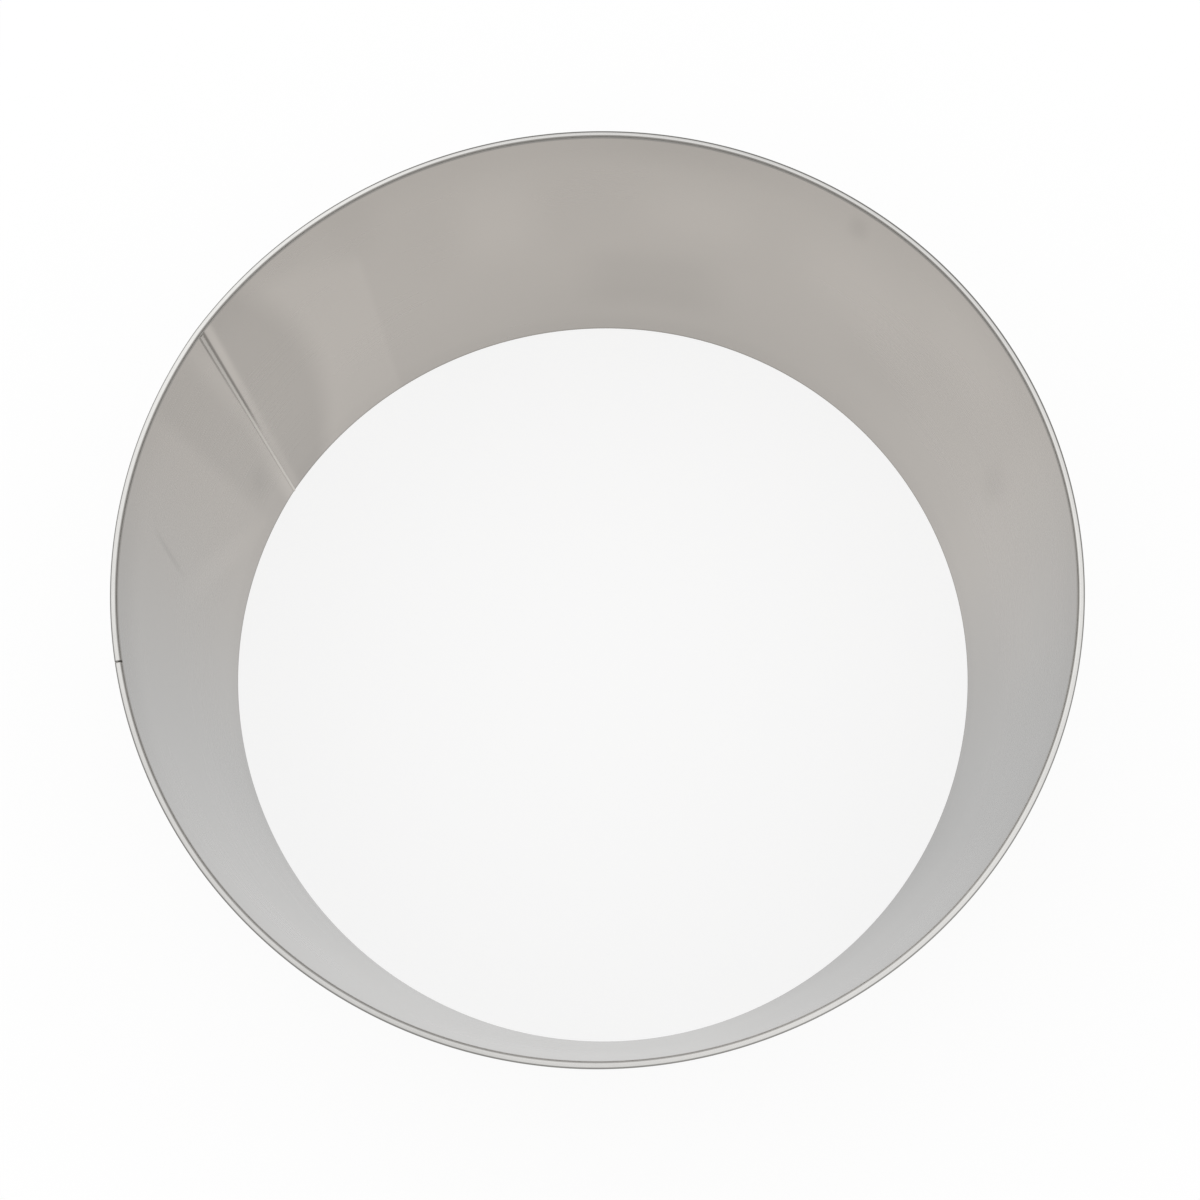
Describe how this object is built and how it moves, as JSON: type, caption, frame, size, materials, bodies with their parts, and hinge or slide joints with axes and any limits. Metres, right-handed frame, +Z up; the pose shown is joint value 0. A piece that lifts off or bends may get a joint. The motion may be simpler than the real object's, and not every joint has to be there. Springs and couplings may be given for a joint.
{
  "type": "mousse ring",
  "caption": "Round open-ended ring of rolled stainless sheet with an upright welded seam and a bright reinforced upper rim, for moulding mousses, cakes and set creams.",
  "frame": {"origin": "on the ring's axis, in the plane of the lower edge that it stands on", "axes": "+Z is up along the ring's axis; the picture looks down from the -Y side, with +X to the right"},
  "size_m": [0.1202, 0.1198, 0.06],
  "materials": {
    "wall_steel": "satin mill finish with a faint grain round the band",
    "rim_steel": "bright dressed edge, rounded at both corners",
    "weld_steel": "dressed weld, slightly dulled by heat"
  },
  "bodies": {
    "root": {"wall_band": "wall_steel", "rim_wire": "rim_steel", "seam_weld": "weld_steel"}
  },
  "joints": []
}
